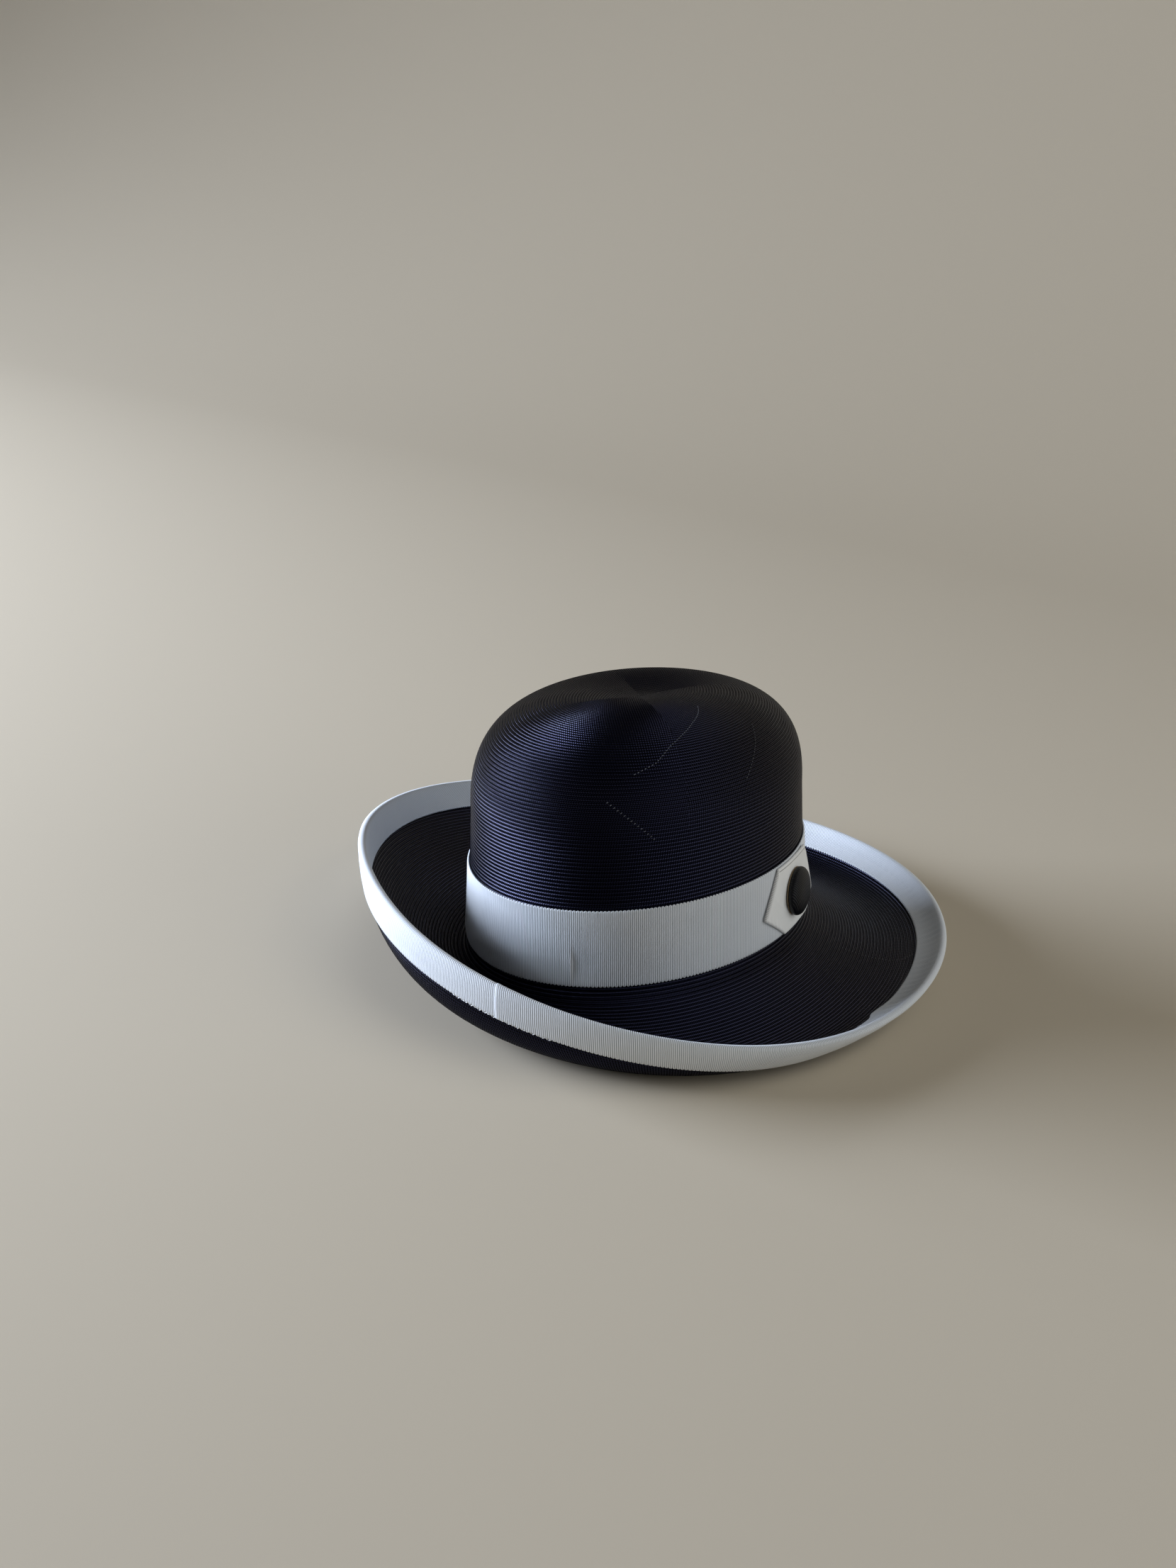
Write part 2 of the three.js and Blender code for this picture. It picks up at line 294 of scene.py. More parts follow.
def linear(code):
    """Linear colour of an sRGB hex code."""
    parts = [int(code[i : i + 2], 16) / 255 for i in (1, 3, 5)]
    return [p / 12.92 if p <= 0.04045 else ((p + 0.055) / 1.055) ** 2.4 for p in parts] + [1]


def add_node(tree, kind, settings=None, **links):
    """A node with its settings. Its inputs are named, or numbered as i0, i1 and so on, and each is given a
    value, a node whose first output feeds it, or one output."""
    node = tree.nodes.new(kind)
    for key, value in (settings or {}).items():
        setattr(node, key, value)
    for key, value in links.items():
        socket = node.inputs[int(key[1:]) if key[1:].isdigit() else key.replace("_", " ")]
        if isinstance(value, bpy.types.Node):
            value = value.outputs[0]
        if isinstance(value, bpy.types.NodeSocket):
            tree.links.new(value, socket)
        else:
            socket.default_value = value
    return node


def blank_material(name):
    """A node material and its shader."""
    material = bpy.data.materials.new(name)
    material.use_nodes = True
    return material, material.node_tree.nodes["Principled BSDF"]


def pattern_mm(tree):
    """The piece's own UV map as two lengths in millimetres: along the row and across it."""
    uv = add_node(tree, "ShaderNodeUVMap", {"uv_map": "UVMap"})
    split = add_node(tree, "ShaderNodeSeparateXYZ", Vector=uv)
    along = add_node(tree, "ShaderNodeMath", {"operation": "MULTIPLY"}, i0=split.outputs["X"], i1=1 / MM)
    across = add_node(tree, "ShaderNodeMath", {"operation": "MULTIPLY"}, i0=split.outputs["Y"], i1=1 / MM)
    return along, across


def ridges(tree, length, pitch):
    """Rounded ridges every pitch along a length: 0 in the grooves and 1 at the tops."""
    turn = add_node(tree, "ShaderNodeMath", {"operation": "MULTIPLY"}, i0=length, i1=math.pi / pitch)
    wave = add_node(tree, "ShaderNodeMath", {"operation": "SINE"}, i0=turn)
    return add_node(tree, "ShaderNodeMath", {"operation": "ABSOLUTE"}, i0=wave)


def arch(tree, away):
    """An arch over a strand: 1 at its middle, and 0 half a strand away."""
    squared = add_node(tree, "ShaderNodeMath", {"operation": "MULTIPLY"}, i0=away, i1=away)
    return add_node(tree, "ShaderNodeMath", {"operation": "MULTIPLY_ADD"}, i0=squared, i1=-4.0, i2=1.0)


def dress(tree, shader, tint, bump, **values):
    """Gives a shader its tint, its bump and its other values."""
    tree.links.new(tint.outputs[2], shader.inputs["Base Color"])
    tree.links.new(bump.outputs[0], shader.inputs["Normal"])
    for key, value in values.items():
        shader.inputs[key.replace("_", " ")].default_value = value


def lacquered_straw():
    """Plaited sisal straw, dyed navy, blocked and sized. Each row is two lines of strands that slant against
    each other, so it glints in dots, and the size gives it a soft bluish sheen. Painted shade fills the
    gaps between the strands: there a black shader that reflects nothing takes over from the straw."""
    material, shader = blank_material("lacquered_straw")
    tree = material.node_tree
    along, across = pattern_mm(tree)
    lines = add_node(tree, "ShaderNodeMath", {"operation": "DIVIDE"}, i0=across, i1=ROW_PITCH / 2)
    line = add_node(tree, "ShaderNodeMath", {"operation": "FLOOR"}, i0=lines)
    odd = add_node(tree, "ShaderNodeMath", {"operation": "FLOORED_MODULO"}, i0=line, i1=2.0)
    side = add_node(tree, "ShaderNodeMath", {"operation": "MULTIPLY_ADD"}, i0=odd, i1=-2.0, i2=1.0)
    in_line = add_node(tree, "ShaderNodeMath", {"operation": "FRACT"}, i0=lines)
    over = add_node(tree, "ShaderNodeMath", {"operation": "SUBTRACT"}, i0=in_line, i1=0.5)
    lean = add_node(tree, "ShaderNodeMath", {"operation": "MULTIPLY"}, i0=over, i1=side)
    rows = add_node(tree, "ShaderNodeMath", {"operation": "DIVIDE"}, i0=across, i1=ROW_PITCH)
    row = add_node(tree, "ShaderNodeMath", {"operation": "FLOOR"}, i0=rows)
    count = add_node(tree, "ShaderNodeMath", {"operation": "DIVIDE"}, i0=along, i1=STRAND_PITCH)
    leant = add_node(tree, "ShaderNodeMath", {"operation": "MULTIPLY_ADD"}, i0=lean, i1=STRAND_LEAN, i2=count)
    offset = add_node(tree, "ShaderNodeMath", {"operation": "MULTIPLY_ADD"}, i0=row, i1=ROW_OFFSET, i2=leant)
    strand = add_node(tree, "ShaderNodeMath", {"operation": "FRACT"}, i0=offset)
    beside = add_node(tree, "ShaderNodeMath", {"operation": "SUBTRACT"}, i0=strand, i1=0.5)
    bulge = arch(tree, beside)
    hump = arch(tree, over)
    height = add_node(tree, "ShaderNodeMath", {"operation": "MULTIPLY"}, i0=bulge, i1=hump)
    bump = add_node(tree, "ShaderNodeBump", Strength=1.0, Distance=0.14 * MM, Height=height)
    where = add_node(tree, "ShaderNodeTexCoord").outputs["Object"]
    dye = add_node(tree, "ShaderNodeTexNoise", Vector=where, Scale=1 / (0.5 * MM), Detail=2.0)
    dark = linear("#020203")
    light = linear("#05060b")
    tint = add_node(tree, "ShaderNodeMix", {"data_type": "RGBA"}, i0=dye, i6=dark, i7=light)
    sheen = linear("#b6baff")
    dress(tree, shader, tint, bump, Roughness=0.3, Specular_IOR_Level=0.5, Specular_Tint=sheen)
    # Painted shade: where the height falls towards the gaps between the strands, a black, dull shader that
    # reflects nothing is mixed in.
    black = linear("#000001")
    gap_shade = add_node(tree, "ShaderNodeBsdfPrincipled", Base_Color=black, Roughness=0.9, Specular_IOR_Level=0.0)
    soft = {"interpolation_type": "SMOOTHSTEP"}
    top = add_node(tree, "ShaderNodeMapRange", soft, Value=height, i1=0.2, i2=0.65)
    woven = add_node(tree, "ShaderNodeMixShader", i0=top, i1=gap_shade, i2=shader)
    tree.links.new(woven.outputs[0], tree.nodes["Material Output"].inputs["Surface"])
    return material


def ribbed_ribbon(name, rib):
    """Grosgrain ribbon, woven with thick weft cords. The cords are modelled, and this adds painted shade, a
    grey tint in the grooves between them, the fine warp that crosses them and the matt bloom of cotton
    and rayon."""
    material, shader = blank_material(name)
    tree = material.node_tree
    along, across = pattern_mm(tree)
    cord = add_node(tree, "ShaderNodeMath", {"operation": "POWER"}, i0=ridges(tree, along, rib), i1=0.7)
    warp = ridges(tree, across, WARP_PITCH)
    where = add_node(tree, "ShaderNodeTexCoord").outputs["Object"]
    fuzz = add_node(tree, "ShaderNodeTexNoise", Vector=where, Scale=1 / (0.4 * MM), Detail=3.0)
    height = add_node(tree, "ShaderNodeMath", {"operation": "MULTIPLY_ADD"}, i0=warp, i1=0.4, i2=fuzz)
    bump = add_node(tree, "ShaderNodeBump", Strength=0.5, Distance=0.04 * MM, Height=height)
    cloud = add_node(tree, "ShaderNodeTexNoise", Vector=where, Scale=1 / (14 * MM), Detail=2.0)
    cool = linear("#e9edf0")
    pale = linear("#f3f5f6")
    unshaded = add_node(tree, "ShaderNodeMix", {"data_type": "RGBA"}, i0=cloud, i6=cool, i7=pale)
    # Painted shade: the colour greys towards the grooves between the cords.
    groove = linear("#7f858d")
    tint = add_node(tree, "ShaderNodeMix", {"data_type": "RGBA"}, i0=cord, i6=groove, i7=unshaded.outputs[2])
    dress(tree, shader, tint, bump, Roughness=0.6, Sheen_Weight=0.15)
    return material


def pressed_ribbon():
    """The same ribbon folded and steamed flat for the tab: nearly smooth and matt, a little yellower than
    the band, with soft creases, and with painted shade, a dark brown tint, along its seam and between its
    corded stitches."""
    material, shader = blank_material("pressed_ribbon")
    tree = material.node_tree
    fine = ridges(tree, pattern_mm(tree)[0], PRESSED_RIB)
    where = add_node(tree, "ShaderNodeTexCoord").outputs["Object"]
    crease = add_node(tree, "ShaderNodeTexNoise", Vector=where, Scale=1 / (12 * MM), Detail=1.0)
    height = add_node(tree, "ShaderNodeMath", {"operation": "MULTIPLY_ADD"}, i0=fine, i1=0.05, i2=crease)
    bump = add_node(tree, "ShaderNodeBump", Strength=0.4, Distance=0.5 * MM, Height=height)
    cloud = add_node(tree, "ShaderNodeTexNoise", Vector=where, Scale=1 / (6 * MM), Detail=2.0)
    cream = linear("#ededea")
    pale = linear("#f5f5f2")
    unshaded = add_node(tree, "ShaderNodeMix", {"data_type": "RGBA"}, i0=cloud, i6=cream, i7=pale)
    # Painted shade: the tab's shade attribute turns the colour dark brown along the seam and in the grooves
    # between the corded stitches.
    shade = add_node(tree, "ShaderNodeAttribute", {"attribute_name": "shade"})
    stitch_shade = add_node(tree, "ShaderNodeMath", {"operation": "MULTIPLY"}, i0=shade.outputs["Fac"], i1=0.9)
    shade_brown = linear("#5b5148")
    tint = add_node(tree, "ShaderNodeMix", {"data_type": "RGBA"}, i0=stitch_shade, i6=unshaded.outputs[2], i7=shade_brown)
    dress(tree, shader, tint, bump, Roughness=0.7, Sheen_Weight=0.1)
    return material


def button_cloth():
    """Navy ribbed cloth stretched over a dome, its ribs cut on the slant."""
    material, shader = blank_material("button_cloth")
    tree = material.node_tree
    along, across = pattern_mm(tree)
    slant = BUTTON_SLANT
    slanted = add_node(tree, "ShaderNodeMath", {"operation": "MULTIPLY_ADD"}, i0=across, i1=slant, i2=along)
    rib = ridges(tree, slanted, BUTTON_RIB)
    broad_rib = add_node(tree, "ShaderNodeMath", {"operation": "POWER"}, i0=rib, i1=0.7)
    yarn = ridges(tree, across, BUTTON_YARN)
    yarn_height = add_node(tree, "ShaderNodeMath", {"operation": "MULTIPLY_ADD"}, i0=yarn, i1=0.3, i2=0.7)
    height = add_node(tree, "ShaderNodeMath", {"operation": "MULTIPLY"}, i0=broad_rib, i1=yarn_height)
    bump = add_node(tree, "ShaderNodeBump", Strength=1.0, Distance=0.25 * MM, Height=height)
    # Painted shade: the colour darkens towards the grooves between the ribs, following their height.
    dark = linear("#010102")
    light = linear("#06070f")
    tint = add_node(tree, "ShaderNodeMix", {"data_type": "RGBA"}, i0=height, i6=dark, i7=light)
    dress(tree, shader, tint, bump, Roughness=0.42, Specular_IOR_Level=0.3)
    return material


def plain_finish(name, colour, roughness):
    """One nearly even colour, for the parts too small to show a pattern."""
    material, shader = blank_material(name)
    tree = material.node_tree
    light = linear(colour)
    dark = [0.7 * part for part in light[:3]] + [1]
    where = add_node(tree, "ShaderNodeTexCoord").outputs["Object"]
    grain = add_node(tree, "ShaderNodeTexNoise", Vector=where, Scale=1 / (0.8 * MM), Detail=2.0)
    tone = add_node(tree, "ShaderNodeMix", {"data_type": "RGBA"}, i0=grain, i6=light, i7=dark)
    tree.links.new(tone.outputs[2], shader.inputs["Base Color"])
    shader.inputs["Roughness"].default_value = roughness
    return material


# A straw row: where its groove, two shoulders and top lie across it, and how far each stands out
ROW_PLACES = np.array((0, 0.25, 0.5, 0.75))
ROW_HEIGHTS = np.array((-0.42, -0.04, 0.16, -0.04))


def rows_over(length):
    """Whole straw rows over a length: the places of their grooves, shoulders and tops, and the height and
    the row number of each."""
    count = round(length / ROW_PITCH)
    numbers = (np.arange(count)[:, None] + ROW_PLACES).ravel()
    return numbers / count * length, np.tile(ROW_HEIGHTS, count), numbers


# The crown's grid starts just above the head line. Its rings turn square within about TIP_SQUARE of the
# tip's middle, and its rows grow flat within TIP_EVEN of it.
CROWN_COLUMNS = 192
CROWN_FOOT = 0.05
TIP_SQUARE = 26
TIP_EVEN = 28
SQUARE_SIZE = 0.9
NARROWEST = 0.01
SECTOR_CORNERS = np.radians((-45, 45, 135, 225))


def crown_face(out, every, depth):
    """One face of the crown from foot to tip, with one ring in every few and its rows at a share of their
    depth. Its rings lie in four sectors that meet in mitres, as the plait is started."""
    climbs = np.linspace(CROWN_FOOT, 2, CLIMB_SAMPLES)
    travelled = length_along(crown_point(-QUARTER, climbs, 0))
    total = travelled[-1]
    places, heights, numbers = [values[::every] for values in rows_over(total)]
    left = total - np.append(places, total)
    numbers = np.append(numbers, total / ROW_PITCH)
    heights = np.append(heights, 0) * np.clip(left / TIP_EVEN, 0, 1) * depth
    squareness = np.exp(-((left / TIP_SQUARE) ** 2))[:, None]
    points = []
    uvs = []
    start = 0
    for corner in SECTOR_CORNERS:
        fine = np.linspace(corner, corner + QUARTER, SECTOR_SAMPLES)
        covered = length_along(wall_point(fine, BAND_HEIGHT, 0))
        turn = np.interp(np.linspace(0, covered[-1], CROWN_COLUMNS // 4 + 1), covered, fine)
        square = SQUARE_SIZE / np.cos(turn - corner - QUARTER / 2)
        shifted = total - left[:, None] * (1 + squareness * (square - 1))
        climb = np.interp(shifted, travelled, climbs)
        points.append(crown_point(turn, climb, out + heights[:, None]))
        inward = np.maximum(np.cos(np.maximum(climb - 1, 0) * QUARTER), NARROWEST) ** SHOULDER_IN
        width = round(covered[-1] / STRAND_PITCH) * STRAND_PITCH
        share = np.linspace(-0.5, 0.5, len(turn))
        along = start + (0.5 + share * inward) * width
        uvs.append(np.stack(np.broadcast_arrays(along, numbers[:, None] * ROW_PITCH), -1))
        start += width
    return np.concatenate(points, 1), np.concatenate(uvs, 1)


def make_crown():
    """The blocked crown, from the middle of its tip down its outside and up its inside."""
    outside, outside_uv = crown_face(0, 1, 1)
    inside, inside_uv = crown_face(-STRAW, 8, 0)
    points = np.concatenate([outside[::-1], inside])
    return wrap_grid("crown_straw", points, np.concatenate([outside_uv[::-1], inside_uv]))[0]


# The straw ends this far inside the binding's fold. Strands are counted along a ring this far out.
BRIM_COLUMNS = 240
BRIM_END = 1.3
STRAND_RING = 60

# The collar's levels from its top, and the row numbers that its pattern runs on to
COLLAR_LEVELS = (COLLAR_HEIGHT, 9, JOG_HEIGHT - BRIM_DROP)
COLLAR_NUMBERS = np.array((7, 4, 1))


def make_brim():
    """The brim with straw rows on both faces, and its collar inside the crown."""
    turn, around = turns_for(BRIM_COLUMNS, lambda t: brim_point(t, STRAND_RING, 0))
    nominal = BRIM_WIDTH - BRIM_END
    places, heights, numbers = rows_over(nominal)
    out = np.append(places / nominal, 1)[:, None] * (brim_width(turn) - BRIM_END)
    heights = np.append(heights, 0)[:, None]
    numbers = np.append(numbers, numbers[-1] + 1)
    upper = brim_point(turn, out, heights)
    lower = brim_point(turn, out, -STRAW - heights)
    outer_collar = [wall_point(turn, level, -STRAW - GAP) for level in COLLAR_LEVELS]
    inner_collar = [wall_point(turn, level, -2 * STRAW - GAP) for level in reversed(COLLAR_LEVELS)]
    points = np.concatenate([outer_collar, upper, lower[::-1], inner_collar, outer_collar[:1]])
    last = 2 * numbers[-1]
    down = [last - numbers[::-1], last + COLLAR_NUMBERS[::-1], [last + COLLAR_NUMBERS[0] + 1]]
    across = np.concatenate([-COLLAR_NUMBERS, numbers, *down]) * ROW_PITCH
    arc = np.linspace(0, round(around / STRAND_PITCH) * STRAND_PITCH, BRIM_COLUMNS + 1)
    return wrap_grid("brim_straw", points, uv_grid(arc, across))[0]


# Height of one cord of ribbon across its pitch, from its groove
BAND_CORD = (0, 0.62, 1, 0.62)
BINDING_CORD = (0, 1, 1)

# The ribbons: how far the grooves stand out from the back, how high the cords are, and how deep the loops
# at the edges are
BAND_GROOVE = 0.68
BAND_CORD_HEIGHT = 0.34
BINDING_GROOVE = 0.75
BINDING_CORD_HEIGHT = 0.3
LOOP_DEPTH = 0.7
LOOP_ROUND = 0.6


def cords(ring, pitch, profile):
    """Turns for every vertex of an even number of cords round a ring. Each turn has its height on the cord,
    its length along the ribbon, and its place in a pair of cords."""
    length = turns_for(10, ring)[1]
    count = round(length / pitch / 2) * 2
    turn = turns_for(count * len(profile), ring)[0]
    index = np.arange(len(turn))
    height = np.array(profile)[index % len(profile)]
    pair = (index % (2 * len(profile))) / (2 * len(profile))
    return turn, height, index / len(profile) * pitch, pair


def loop_at(pair):
    """The rounded loop that each pair of cords makes at the ribbon's edge."""
    return np.sin(np.pi * pair) ** LOOP_ROUND


# Where the band was pressed by a thumb, with a lip before the dent. Turns are followed as lengths.
DEGREE = 1.43
DENT_TURN = 276.5
DENT_HEIGHT = 10.5
DENT_TALL = 7
DENT_DEPTH = 0.8
DENT_STEP = 1.4
DENT_END = 15
DENT_RISE = 12
LIP_HEIGHT = 0.5
LIP_TALL = 6
LIP_BEFORE = 3
LIP_AFTER = 0.7

# The fold at the band's left foot: where its ridge runs, how far it leans out, and how it fades
FOLD_RIDGE = {"turn": (195, 212, 260), "height": (4, 6, 13.5)}
FOLD_TURN = 232
FOLD_SPREAD = 26
FOLD_OUT = 1.3
FOLD_BELOW = 5
FOLD_ABOVE = 14
FOLD_FOOT = 3


def band_push(turn, height):
    """How far the band stands out of its even shape, from its dent and its fold."""
    degrees = np.degrees(turn)
    past = (degrees - DENT_TURN) * DEGREE
    dent = np.clip(past / DENT_STEP, 0, 1) * np.clip((DENT_END - past) / DENT_RISE, 0, 1)
    dent = DENT_DEPTH * dent * bell(height, DENT_HEIGHT, DENT_TALL)
    lip = np.where(past < 0, np.exp(past / LIP_BEFORE), np.exp(-past / LIP_AFTER))
    lip = LIP_HEIGHT * lip * bell(height, DENT_HEIGHT, LIP_TALL)
    above = height - np.interp(degrees, FOLD_RIDGE["turn"], FOLD_RIDGE["height"])
    fold = np.where(above < 0, np.exp(above / FOLD_BELOW), np.exp(-above / FOLD_ABOVE))
    fold = FOLD_OUT * fold * bell(degrees, FOLD_TURN, FOLD_SPREAD) * np.clip(height / FOLD_FOOT, 0, 1)
    return fold + lip - dent


# Rows of the band's face from foot to top, and of its back from top to foot: the height of each, and its
# share of the edge's looped form
BAND_FACE = {
    "height": (0, 0.22, 0.55, 1.1, 4, 6, 8.5, 11, 13.5, 16, 19, 24, 30, 36.9, 37.45, 37.78, 38),
    "edge": (1, 0.7, 0.2, 0, 0, 0, 0, 0, 0, 0, 0, 0, 0, 0, 0.2, 0.7, 1),
}
BAND_BACK = {
    "height": (37.9, 37, 18, 14, 11, 8, 4, 1, 0.1),
    "edge": (1, 0.15, 0, 0, 0, 0, 0, 0.15, 1),
}
BAND_EDGE_DROP = 0.35
BACK_LIFT = 0.02
BACK_GIVE = 0.25


def make_band():
    """The ribbon band, its cords standing upright, with looped edges."""
    turn, cord, arc, pair = cords(crown_ring(BAND_HEIGHT / 2, GAP + RIBBON), BAND_RIB, BAND_CORD)
    loop = loop_at(pair)
    rows = []
    across = []
    for height, edge in zip(BAND_FACE["height"], BAND_FACE["edge"]):
        reach = np.sign(height - BAND_HEIGHT / 2) * edge * (loop - 1) * LOOP_DEPTH
        out = GAP + BAND_GROOVE + BAND_CORD_HEIGHT * np.maximum(cord, edge * loop) - BAND_EDGE_DROP * edge
        rows.append(wall_point(turn, height + reach, out + band_push(turn, height)))
        across.append(height)
    for height, edge in zip(BAND_BACK["height"], BAND_BACK["edge"]):
        reach = np.sign(height - BAND_HEIGHT / 2) * edge * (loop - 1) * LOOP_DEPTH
        out = GAP + BACK_LIFT + np.clip(band_push(turn, height), -BACK_GIVE, 0)
        rows.append(wall_point(turn, height + reach, out))
        across.append(2 * BAND_HEIGHT - height)
    rows.append(rows[0])
    across.append(2 * BAND_HEIGHT)
    return wrap_grid("band_ribbon", np.array(rows), uv_grid(arc, np.array(across)))[0]


# The binding's ends overlap at the back, where the upper one stands up in a step and has no cords at its
# very end
JOIN_TURN = math.radians(270.5)
JOIN_STEP = 0.65
JOIN_SHARP = 0.5
JOIN_FADE = 11
JOIN_PLAIN = 1.8
PLAIN_FADE = 1.6
PLAIN_CORD = 0.8

# The binding's inner edge is caught up in a kink at the front right
KINK_TURN = math.radians(350.5)
KINK_REACH = 2.4
KINK_BEFORE = 5
KINK_AFTER = 14
KINK_FROM = 3

# The binding's upper face ripples at the wearer's right, where the ribbon is a little loose
RIPPLE_TURN = math.radians(8)
RIPPLE_SPREAD = math.radians(38)
RIPPLE_DEPTH = 0.3
RIPPLE_PITCH = 6.5
RIPPLE_BEAT = 31
RIPPLE_EVEN = 0.65
RIPPLE_BACK = 8
RIPPLE_REACH = 5

# Rows of the binding from its upper inner edge round the fold to its lower one: the distance back from the
# brim's edge, the lift off the straw's upper face, the share of the edge's looped form, and which way the
# cords stand, from 1 for up to -1 for down
BINDING_TOP = GAP + BINDING_GROOVE
BINDING_BOTTOM = -STRAW - GAP - BINDING_GROOVE
BINDING_FACE = (
    (BINDING_ABOVE, BINDING_TOP - 0.45, 1, 1),
    (BINDING_ABOVE - 0.35, BINDING_TOP, 0.7, 1),
    (BINDING_ABOVE - 1, BINDING_TOP, 0.15, 1),
    (12, BINDING_TOP, 0, 1),
    (8, BINDING_TOP, 0, 1),
    (4.5, BINDING_TOP, 0, 1),
    (2, BINDING_TOP, 0, 1),
    (0.7, BINDING_TOP - 0.35, 0, 0.7),
    (0.25, -0.1, 0, 0.2),
    (0.15, -STRAW / 2, 0, 0),
    (0.25, -STRAW + 0.1, 0, -0.2),
    (0.7, BINDING_BOTTOM + 0.35, 0, -0.7),
    (2, BINDING_BOTTOM, 0, -1),
    (6, BINDING_BOTTOM, 0, -1),
    (10.5, BINDING_BOTTOM, 0, -1),
    (BINDING_BELOW - 1, BINDING_BOTTOM, 0.15, -1),
    (BINDING_BELOW - 0.35, BINDING_BOTTOM, 0.7, -1),
    (BINDING_BELOW, BINDING_BOTTOM + 0.45, 1, -1),
)

# Rows of its back, from the lower edge round to the upper one: distance back, lift and share of the
# looped form
BINDING_BACK = (
    (BINDING_BELOW - 0.1, -STRAW - GAP, 1),
    (BINDING_BELOW - 2, -STRAW - GAP, 0),
    (1.2, -STRAW - GAP, 0),
    (1.2, GAP, 0),
    (BINDING_ABOVE - 2, GAP, 0),
    (BINDING_ABOVE - 0.1, GAP, 1),
)

# Lengths across the ribbon that the pattern runs on over its back, up to the first row again
BACK_ACROSS = np.array((1, 3, 16, 18, 32, 34, 35))


def kink_share(back, lift):
    """Share of the kink at a distance back from the edge: all at the inner edge, none past the fold."""
    return np.clip((back - KINK_FROM) / (BINDING_ABOVE - 1 - KINK_FROM), 0, 1) if lift > 0 else 0


def make_binding():
    """The ribbon folded over the brim's edge, its cords running across the edge."""
    turn, cord, arc, pair = cords(lambda t: brim_point(t, brim_width(t) - 1, 0), BINDING_RIB, BINDING_CORD)
    width = brim_width(turn)
    past = arc - np.interp(JOIN_TURN, turn, arc)
    after = np.maximum(past, 0)
    overlap = JOIN_STEP * (1 - np.exp(-after / JOIN_SHARP)) * np.exp(-after / JOIN_FADE)
    plain = np.clip(1 - np.abs(past - JOIN_PLAIN / 2) / JOIN_PLAIN * PLAIN_FADE, 0, 1)
    cord = cord + (PLAIN_CORD - cord) * plain
    loop = loop_at(pair + (0.5 - pair) * plain)
    from_kink = arc - np.interp(KINK_TURN, turn, arc)
    kink = KINK_REACH * bell(from_kink, 0, np.where(from_kink < 0, KINK_BEFORE, KINK_AFTER))
    from_ripple = np.mod(turn - RIPPLE_TURN + math.pi, FULL_TURN) - math.pi
    beat = RIPPLE_EVEN + (1 - RIPPLE_EVEN) * np.sin(FULL_TURN * arc / RIPPLE_BEAT)
    wave = np.sin(FULL_TURN * arc / RIPPLE_PITCH)
    ripple = RIPPLE_DEPTH * beat * wave * bell(from_ripple, 0, RIPPLE_SPREAD)
    rows = []
    for back, lift, edge, stand in BINDING_FACE:
        reach = edge * (loop - 1) * LOOP_DEPTH + kink_share(back, lift) * kink
        outward = BINDING_CORD_HEIGHT * np.maximum(cord, edge * loop) + overlap
        past_edge = math.sqrt(1 - stand * stand) * (outward - BINDING_CORD_HEIGHT)
        rippled = ripple * bell(back, RIPPLE_BACK, RIPPLE_REACH) if lift > 0 else 0
        rows.append(brim_point(turn, width - back - reach + past_edge, lift + stand * outward + rippled))
    for back, lift, edge in BINDING_BACK:
        reach = edge * (loop - 1) * LOOP_DEPTH + kink_share(back, lift) * kink
        rows.append(brim_point(turn, width - back - reach, lift))
    rows.append(rows[0])
    section = np.array([row[:2] for row in BINDING_FACE])
    across = np.append(0, np.cumsum(np.abs(np.diff(section, axis=0)).max(axis=1)))
    across = np.append(across, across[-1] + BACK_ACROSS)
    return wrap_grid("binding_ribbon", np.array(rows), uv_grid(arc, across))[0]


# The tab's edges roll under. Its slanted back edge is a corded fold, and a seam runs a little below its top.
TAB_ROLL = 1.3
TAB_EDGE = 0.15
TAB_SEAM = 1.5
SEAM_DEPTH = 0.22
SEAM_WIDE = 0.22
TAB_CORD = 0.8
TAB_CORD_HEIGHT = 0.18
CORD_RUN = 0.85
CORD_SLANT = 0.7
CORDED_WIDTH = 2.2
BACK_EDGE_SLOPE = 0.52
BACK_EDGE_END = TAB_ROWS["along"][1]
FOOT_SLOPE = 0.8
FINE_SHARE = 0.2
SOFT_START = 0.01
TAB_COLUMNS = 200
TAB_HEIGHTS = 80

# Creases of the tab: how far each stands out, the slanted line that it lies on, how wide it is, and the
# height that it shows at
TAB_CREASES = {
    "out": (0.28, -0.3),
    "per_place": (0.9, 1),
    "per_height": (1, 0.25),
    "line": (2.5, -9.5),
    "wide": (1.6, 2.2),
    "height": (13, 20),
    "tall": (9, 10),
}

# The sharper crease where the tab's front end was pressed, and the puckers along the foot of its back end
PRESSED_PLACE = 19.4
PRESSED_WIDE = 0.9
PRESSED_DEPTH = 0.35
PRESSED_FROM = 12
PRESSED_FADE = 8
PUCKER_DEPTH = 0.12
PUCKER_TURN = 1.7
PUCKER_UP = 1.5
PUCKER_TALL = 2.5
PUCKER_END = -0.1


def tab_creases(place, height):
    """How far the tab stands out of its even shape, from its creases."""
    upper = np.clip((height - PRESSED_FROM) / PRESSED_FADE, 0, 1)
    total = -PRESSED_DEPTH * upper * bell(place, PRESSED_PLACE, PRESSED_WIDE)
    for out, per_place, per_height, line, wide, level, tall in zip(*TAB_CREASES.values()):
        ridge = bell(per_place * place + per_height * height, line, wide)
        total = total + out * ridge * bell(height, level, tall)
    return total


def join_sheets(front, rear):
    """Joins two sheets into one piece by a strip round their edges."""
    select_only(front, rear)
    bpy.ops.object.join()
    bpy.ops.object.mode_set(mode="EDIT")
    bpy.ops.mesh.select_all(action="DESELECT")
    bpy.ops.mesh.select_mode(type="EDGE")
    bpy.ops.mesh.select_non_manifold(
        extend=False, use_wire=False, use_multi_face=False, use_non_contiguous=False, use_verts=False
    )
    bpy.ops.mesh.bridge_edge_loops()
    bpy.ops.object.mode_set(mode="OBJECT")


